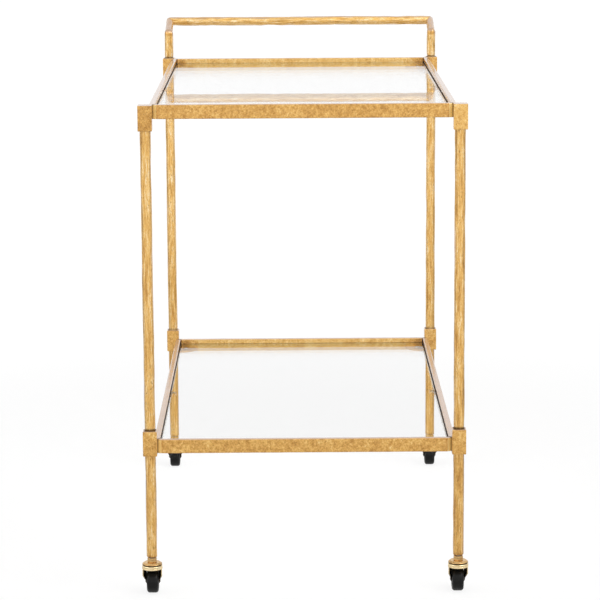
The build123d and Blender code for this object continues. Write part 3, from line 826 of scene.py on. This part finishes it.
def black_wheel():
    """Wheel plastic: satin black, with patches scuffed grey and dull."""
    material, tree, shader = new_finish("satin_black_wheel")
    coords = object_coords(tree)
    dust = noise(tree, coords, scale=420.0, detail=5.0, roughness=0.65)
    mould = noise(tree, coords, scale=2200.0, detail=2.0)
    fill(tree, shader, {
        "Base Color": colour_steps(tree, dust, (0.35, paint(8, 8, 8)), (0.6, paint(15, 15, 14)),
                                   (0.8, paint(38, 37, 35))),
        "Roughness": ramp(tree, dust, (0.3, 0.75), (0.28, 0.52)),
        "Normal": bump(tree, plus(tree, dust, mould), strength=0.2, distance=0.1 * MM),
        "IOR": 1.3})
    return material


def clear_glass():
    """Clear glass: bright faces, pale ground edges, faint smears. Lamps shine through it."""
    material, tree, shader = new_finish("clear_float_glass")
    face = tree.nodes.new("ShaderNodeNewGeometry").outputs["True Normal"]
    steep = calc(tree, "ABSOLUTE", split_xyz(tree, face)[2])
    ground = ramp(tree, steep, (0.9, 0.6))
    smear = noise(tree, object_coords(tree), scale=14.0, detail=4.0, roughness=0.6)
    smear = ramp(tree, smear, (0.5, 0.9), (0.0, 0.03))
    fill(tree, shader, {
        "Base Color": blend_colour(tree, ground, (0.89, 0.893, 0.893, 1.0), paint(202, 208, 200)),
        "Roughness": weighted(tree, (smear, 1.0), (ground, 0.12)),
        "Transmission Weight": 1.0,
        "IOR": 1.0,
        "Coat Weight": 0.82,
        "Coat IOR": 1.5,
        "Coat Roughness": 0.0})
    lamp = tree.nodes.new("ShaderNodeLightPath").outputs["Is Shadow Ray"]
    clear = add(tree, "ShaderNodeBsdfTransparent", {"Color": (0.93, 0.96, 0.95, 1.0)}).outputs[0]
    blend_surface(tree, lamp, shader.outputs[0], clear)
    return material


def clear_pad():
    """Clear soft discs under the panes, slightly cloudy."""
    material, tree, shader = new_finish("cloudy_clear_pad")
    cloud = noise(tree, object_coords(tree), scale=700.0, detail=3.0)
    fill(tree, shader, {
        "Base Color": colour_steps(tree, cloud, (0.3, paint(206, 208, 206)), (0.7, paint(236, 238, 236))),
        "Roughness": ramp(tree, cloud, (0.2, 0.8), (0.3, 0.5)),
        "Transmission Weight": 0.5})
    return material


def plain_steel():
    """Steel of the stems, studs and balls: turned, with a light film of oil."""
    material, tree, shader = new_finish("turned_plain_steel")
    coords = object_coords(tree)
    film = noise(tree, coords, scale=500.0, detail=4.0, roughness=0.6)
    lines = noise(tree, drawn_out(tree, coords, 12.0), scale=400.0, detail=2.0)
    fill(tree, shader, {
        "Base Color": colour_steps(tree, film, (0.3, paint(120, 120, 122)), (0.7, paint(186, 186, 188))),
        "Roughness": ramp(tree, film, (0.2, 0.8), (0.25, 0.42)),
        "Normal": bump(tree, lines, strength=0.25, distance=0.1 * MM),
        "Metallic": 1.0})
    return material


HAMMERED_LEAF = hammered_leaf()
FLAT_LEAF = flat_leaf()
BRASS = polished_brass()
WHEEL_BLACK = black_wheel()
GLASS = clear_glass()
PAD = clear_pad()
STEEL = plain_steel()

BAR_TREE = hammered_bar_tree()
FLAT_TREE = flat_bar_tree()
SLEEVE_TREE = sleeve_tree()


# Legs and handle


def hammered_bar(node, line, diameter, seed, **marks):
    """A hammered bar along a line, with plain ends except where marks say otherwise."""
    sizes = dict(
        radius=diameter / 2, step=HAMMER_STEP, bend_radius=0.0, flats=HAMMER_FLATS,
        flat_length=HAMMER_FLAT_LENGTH, flat_depth=HAMMER_FLAT_DEPTH, ripple=HAMMER_RIPPLE,
        wander=HAMMER_WANDER, end_margin=BAR_END_MARGIN, start_length=PLAIN_END, start_depth=0.0,
        end_length=PLAIN_END, end_depth=0.0, neck_place=SLEEVE_MOUTH_INSET + NECK_PAST_MOUTH, neck_depth=0.0,
        thin_from=0.0, thin_depth=0.0, top_start=NO_TOP_SHEEN, tone=0.0, seed=seed)
    sizes.update(marks)
    piece = grown("hammered_" + node, BAR_TREE, line, HAMMERED_LEAF, **sizes)
    dress(piece, CART, node)


def make_legs():
    """Upper legs with a neck at the lower sleeve's mouth, lower legs with a tapered foot."""
    seed = LEG_SEED
    for end, side in CORNERS:
        marks = {
            # Lower legs are painted darker, as painted shade, and rear upper legs paler, as painted light.
            "upper_leg": dict(neck_depth=LEG_NECK_DEPTHS[end], tone=UPPER_LEG_LIGHT_TONES[end]),
            "lower_leg": dict(start_length=LEG_FOOT_TAPER, start_depth=LEG_FOOT_STEP,
                              wander=LOWER_LEG_WANDER, tone=LOWER_LEG_SHADE_TONES[side])}
        for part, part_marks in marks.items():
            node = f"{end}_{side}_{part}"
            low, high = corners(node)
            spot = middle(node)
            line = [(spot.x, spot.y, low.z), (spot.x, spot.y, high.z)]
            hammered_bar(node, line, extent(node).x, seed, flat_length=LEG_FLAT_LENGTH, **part_marks)
            seed += LEG_SEED_STEP


def make_handle():
    """Two posts that bend back over the rear end, and the cross bar between them."""
    bar_spot = middle("handle_bar")
    diameter = extent("handle_bar").z
    knee_z = bar_spot.z - HANDLE_ARM_RISE
    for side in SIDES:
        node = f"handle_{side}_post"
        x = middle(node).x
        foot_y = middle(f"rear_{side}_upper_leg").y
        foot_z = corners(node)[0].z
        reach = bar_spot.y - foot_y
        slope = math.atan2(HANDLE_ARM_RISE, reach)
        arm = reach + diameter / 2 * (1 - math.sin(slope))
        line = [(x, foot_y, foot_z), (x, foot_y, knee_z), (x, foot_y + arm, knee_z + arm * math.tan(slope))]
        # The posts are painted paler, with a painted pale sheen on faces that look up from low on the bend.
        hammered_bar(
            node, line, diameter, POST_SEED + x * POST_SEED_SPREAD, step=POST_STEP,
            bend_radius=HANDLE_KNEE_RADIUS, end_length=HANDLE_END_ROUND, end_depth=HANDLE_END_ROUND,
            neck_depth=POST_NECK_DEPTH, flat_depth=HANDLE_FLAT_DEPTH, thin_from=knee_z - foot_z,
            thin_depth=HANDLE_ARM_THIN, top_start=POST_TOP_START, tone=HANDLE_LIGHT_TONE)
    post_x = middle("handle_right_post").x
    line = [(x, bar_spot.y, bar_spot.z) for x in (-post_x, post_x)]
    # The cross bar is painted paler, with a painted pale sheen on its upper faces.
    hammered_bar("handle_bar", line, diameter, HANDLE_BAR_SEED, flat_depth=HANDLE_FLAT_DEPTH,
                 top_start=HANDLE_BAR_TOP_START, tone=HANDLE_LIGHT_TONE)


# Trays


def rail_line(half_length, half_gap, radius):
    """A rail's line at half_gap from the tray's middle, from one corner's bend to the other's."""
    lean = radius * math.tan(math.radians(22.5))
    slant = radius * math.sin(math.radians(45))
    bend = (half_length - radius + slant, half_gap - radius + slant)
    knee = (half_length - radius + lean, half_gap)
    return [(-bend[0], bend[1]), (-knee[0], knee[1]), knee, bend]


def tray_lines(tier, radius):
    """The four rails' lines in a tray, each with the direction that its inner face looks."""
    front = corners(f"{tier}_front_rail")[0]
    left = corners(f"{tier}_left_rail")[0]
    rear = corners(f"{tier}_rear_rail")[1]
    half_x = -left.x - RAIL_THICKNESS / 2
    half_y = (rear.y - front.y - RAIL_THICKNESS) / 2
    centre_y = (rear.y + front.y) / 2
    z = middle(f"{tier}_front_rail").z
    across = rail_line(half_x, half_y, radius)
    lengthwise = rail_line(half_y, half_x, radius)
    lines = {"front": ([(x, -y) for x, y in across], (0.0, 1.0)),
             "rear": (across, (0.0, -1.0)),
             "right": ([(y, x) for x, y in lengthwise], (-1.0, 0.0)),
             "left": ([(-y, x) for x, y in lengthwise], (1.0, 0.0))}
    return {place: ([(x, centre_y + y, z) for x, y in line], inward)
            for place, (line, inward) in lines.items()}


def make_rails():
    """Flat bars on edge around each tray, with a dark seam of painted shade along the pane."""
    seed = RAIL_SEED
    radius = RAIL_CORNER_RADIUS - RAIL_THICKNESS / 2
    for tier in TIERS:
        pane_top = corners(f"{tier}_glass")[1].z
        height = extent(f"{tier}_front_rail").z
        # End rails get faint painted shade along the pane, side rails dark painted shade.
        end_seam = (END_SEAM_HEIGHT, END_SEAM_DARKNESS[tier])
        side_seam = (SIDE_SEAM_HEIGHT[tier], SIDE_SEAM_DARKNESS)
        for place, (line, inward) in tray_lines(tier, radius).items():
            node = f"{tier}_{place}_rail"
            seam_height, seam_darkness = end_seam if place in ENDS else side_seam
            # Rails are painted paler, as painted light, most on the rear rails.
            piece = grown(
                "leafed_" + node, FLAT_TREE, line, FLAT_LEAF, thickness=RAIL_THICKNESS, height=height,
                step=RAIL_STEP, bend_radius=radius, edge_round=RAIL_EDGE_ROUND, dent=RAIL_DENT,
                inward_x=inward[0], inward_y=inward[1], pane_top=pane_top, seam_height=seam_height,
                seam_darkness=seam_darkness, tone=RAIL_LIGHT_TONES.get(f"{tier}_{place}", 0.0), seed=seed)
            dress(piece, CART, node)
            seed += RAIL_SEED_STEP


def make_sleeves():
    """Square sleeves at the trays' corners. The two at the upper front are closed on top."""
    seed = SLEEVE_SEED
    for tier in TIERS:
        for end, side in CORNERS:
            place = f"{tier}_{end}_{side}"
            node = f"{place}_sleeve"
            size = extent(node)
            open_top = 0.0 if tier == "upper" and end == "front" else 1.0
            # Each sleeve's tone shift is painted light and shade, set per sleeve.
            piece = grown(
                "leafed_" + node, SLEEVE_TREE, [(0, 0, 0)], FLAT_LEAF, side=size.x, height=size.z,
                wall=SLEEVE_WALL, edge_round=SLEEVE_EDGE_ROUND, mouth_depth=SLEEVE_MOUTH_DEPTH,
                open_top=open_top, dent=SLEEVE_DENT, tone=SLEEVE_LIGHT_AND_SHADE_TONES[place], seed=seed)
            piece.data.transform(Matrix.Translation(middle(node)))
            dress(piece, CART, node)
            seed += SLEEVE_SEED_STEP


# Casters


def lathe(name, outline, centre, axis, material, steps):
    """Solid turned about an axis through centre from (radius, height along the axis) points."""
    shape = bmesh.new()
    side = Vector((0, 0, 1)) if abs(axis.z) < 0.5 else Vector((1, 0, 0))
    verts = [shape.verts.new(centre + side * r + axis * h) for r, h in outline]
    edges = [shape.edges.new((verts[i - 1], verts[i])) for i in range(len(verts))]
    bmesh.ops.spin(shape, geom=verts + edges, cent=centre, axis=axis, angle=math.tau, steps=steps,
                   use_merge=True)
    bmesh.ops.remove_doubles(shape, verts=shape.verts, dist=LATHE_MERGE)
    bmesh.ops.recalc_face_normals(shape, faces=shape.faces)
    mesh = bpy.data.meshes.new(name)
    shape.to_mesh(mesh)
    shape.free()
    mesh.materials.append(material)
    shade(mesh, CASTER_CREASE)
    return new_object(name, mesh)


def softened(name, node, width, material):
    """Copy of a solid with its edges rounded."""
    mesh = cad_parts[node].data.copy()
    mesh.name = name
    shape = bmesh.new()
    shape.from_mesh(mesh)
    bmesh.ops.remove_doubles(shape, verts=shape.verts, dist=SOLID_MERGE)
    shape.to_mesh(mesh)
    shape.free()
    mesh.materials.clear()
    mesh.materials.append(material)
    shade(mesh, CASTER_CREASE)
    piece = new_object(name, mesh)
    edges = piece.modifiers.new("edges", "BEVEL")
    edges.width = width
    edges.segments = EDGE_SEGMENTS
    edges.limit_method = "ANGLE"
    edges.angle_limit = CASTER_CREASE
    edges.harden_normals = True
    return piece


def wheel_outline(radius, half_hub):
    """Section of a wheel as (radius, sideways) points: rounded tread, dished webs, hub."""
    half = WHEEL_TREAD_WIDTH / 2
    rim = radius - WHEEL_RIM
    web = WHEEL_WEB_WIDTH / 2
    hub = WHEEL_HUB_DIAMETER / 2
    shoulder = [(radius - WHEEL_SHOULDER * (1 - math.cos(turn)), half - WHEEL_SHOULDER * (1 - math.sin(turn)))
                for turn in QUARTER_TURN]
    face = [(rim, half), (rim - WHEEL_DRAFT, web), (hub + WHEEL_DRAFT, web), (hub, half_hub),
            (WHEEL_BORE / 2, half_hub)]
    near = shoulder + face
    return near + [(r, -h) for r, h in reversed(near)]


def cup_outline(radius, bottom, top):
    """Section of the race cup as (radius, height) points: flat top, rolled rim, hollow underneath."""
    flat = CUP_FLAT_DIAMETER / 2
    bore = CUP_BORE / 2
    inner = radius - CUP_WALL
    rim_top = bottom + CUP_RIM_HEIGHT
    roll = [(inner + CUP_WALL * math.sin(turn), rim_top + CUP_ROLL * math.cos(turn)) for turn in QUARTER_TURN]
    return [(bore, top), (flat, top), *roll, (radius, bottom), (inner, bottom),
            (inner, bottom + CUP_RIM_HEIGHT / 2), (flat, top - CUP_WALL), (bore, top - CUP_WALL)]


def make_cup(corner):
    node = f"{corner}_caster_cup"
    low, high = corners(node)
    foot = middle(node)
    foot.z = 0.0
    outline = cup_outline(extent(node).x / 2, low.z, high.z)
    cup = lathe(f"brass_{node}", outline, foot, Vector((0, 0, 1)), BRASS, CUP_STEPS)
    dress(cup, CART, node)


def make_fork(corner):
    node = f"{corner}_caster_fork"
    fork = softened(f"pressed_{node}", node, PRESSED_EDGE, BRASS)
    dress(fork, f"{corner}_fork", node)


def make_wheel(corner):
    node = f"{corner}_caster_wheel"
    size = extent(node)
    outline = wheel_outline(size.z / 2, size.x / 2)
    wheel = lathe(f"moulded_{node}", outline, middle(node), Vector((1, 0, 0)), WHEEL_BLACK, WHEEL_STEPS)
    dress(wheel, f"{corner}_wheel", node)


def make_casters():
    """Cup, fork and wheel at each corner, and the four lock nuts."""
    for end, side in CORNERS:
        corner = f"{end}_{side}"
        make_cup(corner)
        make_fork(corner)
        make_wheel(corner)
    nuts = softened("hex_caster_lock_nuts", "caster_lock_nuts", NUT_EDGE, BRASS)
    dress(nuts, CART, "caster_lock_nuts")


def finish_solids():
    """Finishes on the solids that stay as they are."""
    kept = {"upper_glass": GLASS, "lower_glass": GLASS, "glass_pads": PAD, "leg_studs": STEEL,
            "caster_balls": STEEL, "upper_glass_supports": FLAT_LEAF, "lower_glass_supports": FLAT_LEAF}
    for end, side in CORNERS:
        kept[f"{end}_{side}_caster_stem"] = STEEL
        kept[f"{end}_{side}_caster_axle"] = BRASS
    for node, material in kept.items():
        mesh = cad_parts[node].data
        mesh.materials.clear()
        mesh.materials.append(material)


make_legs()
make_handle()
make_rails()
make_sleeves()
make_casters()
finish_solids()


# Floor, light and camera. Glow is how bright the white studio is where it is looked at or mirrored

WHITE = (1.0, 1.0, 1.0, 1.0)
FLOOR_HALF = 30.0
FLOOR_COLOUR = (0.92, 0.92, 0.92, 1.0)
FLOOR_GLOW = 1.04
FLOOR_GLOW_FADE = (0.8, 2.0)
FLOOR_GLOW_SHARES = (0.8, 1.0)
FLOOR_MIRROR_FADE = (0.4, 3.0)
FLOOR_MIRROR_GLOW = (0.84, 1.12)
WORLD_GLOW = 1.0
WORLD_MIRROR_GLOW = 1.1
AMBIENT = 0.55
FLAG_LEAN = 0.2
FLAG_RANGE = (0.94, 0.995)
FLAG_DARKNESS = 0.55
KEY_PLACE = Vector((2.3, -2.4, 3.2))
KEY_SIZE = 2.6
KEY_POWER = 75.0
FILL_PLACE = Vector((-3.0, -1.4, 2.2))
FILL_SIZE = 2.4
FILL_POWER = 28.0
AIM = Vector((0.0, 0.0, 0.4))
CAMERA_PLACE = Vector((-0.0189, -3.9566, 1.0744))
CAMERA_PITCH = math.radians(10.306)
CAMERA_YAW = math.radians(0.219)
CAMERA_ROLL = math.radians(-0.335)
CAMERA_LENS = 154.86
CAMERA_SENSOR = 36.0
CAMERA_REACH = 200.0


def light_paths(tree):
    """1 for rays that look straight or through glass, and 1 for these and for mirrored rays."""
    path = tree.nodes.new("ShaderNodeLightPath").outputs
    direct = calc(tree, "MAXIMUM", path["Is Camera Ray"], path["Is Transmission Ray"])
    return direct, calc(tree, "MAXIMUM", direct, path["Is Glossy Ray"])


def flagged(tree, coords, glow):
    """A glow that is dimmed towards the dark flags at both sides of the studio."""
    direction = split_xyz(tree, vector_calc(tree, "NORMALIZE", coords))
    lean = times(tree, direction[1], FLAG_LEAN)
    sideways = plus(tree, calc(tree, "ABSOLUTE", direction[0]), lean)
    dark = times(tree, ramp(tree, sideways, FLAG_RANGE), FLAG_DARKNESS)
    return times(tree, glow, minus(tree, 1.0, dark))


def studio_white():
    """Floor finish: plain white that keeps the cart's shadow, and glows where it is looked at."""
    material, tree, shader = new_finish("white_studio_floor")
    fill(tree, shader, {"Base Color": FLOOR_COLOUR, "Roughness": 1.0, "Specular IOR Level": 0.0})
    direct, seen = light_paths(tree)
    coords = object_coords(tree)
    distance = add(tree, "ShaderNodeVectorMath", {0: coords}, operation="LENGTH").outputs["Value"]
    mirrored = flagged(tree, coords, ramp(tree, distance, FLOOR_MIRROR_FADE, FLOOR_MIRROR_GLOW))
    strength = blend_value(tree, direct, mirrored, FLOOR_GLOW)
    glow = add(tree, "ShaderNodeEmission", {"Color": WHITE, "Strength": strength}).outputs[0]
    share = times(tree, seen, ramp(tree, distance, FLOOR_GLOW_FADE, FLOOR_GLOW_SHARES))
    blend_surface(tree, share, shader.outputs[0], glow)
    return material


def make_floor():
    mesh = bpy.data.meshes.new("studio_floor")
    signs = [(-1, -1), (1, -1), (1, 1), (-1, 1)]
    mesh.from_pydata([(x * FLOOR_HALF, y * FLOOR_HALF, 0.0) for x, y in signs], [], [(0, 1, 2, 3)])
    mesh.materials.append(studio_white())
    new_object("studio_floor", mesh)


def make_world():
    world = bpy.data.worlds.new("white_studio")
    world.use_nodes = True
    tree = world.node_tree
    direct, seen = light_paths(tree)
    coords = tree.nodes.new("ShaderNodeTexCoord").outputs["Generated"]
    mirrored = flagged(tree, coords, WORLD_MIRROR_GLOW)
    looked_at = blend_value(tree, direct, mirrored, WORLD_GLOW)
    strength = blend_value(tree, seen, AMBIENT, looked_at)
    fill(tree, tree.nodes["Background"], {"Color": WHITE, "Strength": strength})
    bpy.context.scene.world = world


def soft_lamp(name, place, size, power):
    """A square softbox aimed at the cart."""
    lamp = bpy.data.lights.new(name, "AREA")
    lamp.size = size
    lamp.energy = power
    holder = new_object(name, lamp)
    holder.location = place
    holder.rotation_euler = (AIM - place).to_track_quat("-Z", "Y").to_euler()


def make_camera():
    lens = bpy.data.cameras.new("photo_view")
    lens.sensor_width = CAMERA_SENSOR
    lens.lens = CAMERA_LENS
    lens.clip_end = CAMERA_REACH
    camera = new_object("photo_view", lens)
    turn = Matrix.Rotation(-CAMERA_YAW, 4, "Z")
    tilt = Matrix.Rotation(math.pi / 2 - CAMERA_PITCH, 4, "X")
    roll = Matrix.Rotation(CAMERA_ROLL, 4, "Z")
    camera.matrix_world = Matrix.Translation(CAMERA_PLACE) @ turn @ tilt @ roll
    bpy.context.scene.camera = camera


make_floor()
make_world()
soft_lamp("key_softbox", KEY_PLACE, KEY_SIZE, KEY_POWER)
soft_lamp("fill_softbox", FILL_PLACE, FILL_SIZE, FILL_POWER)
make_camera()
bpy.context.scene.view_settings.view_transform = "Standard"
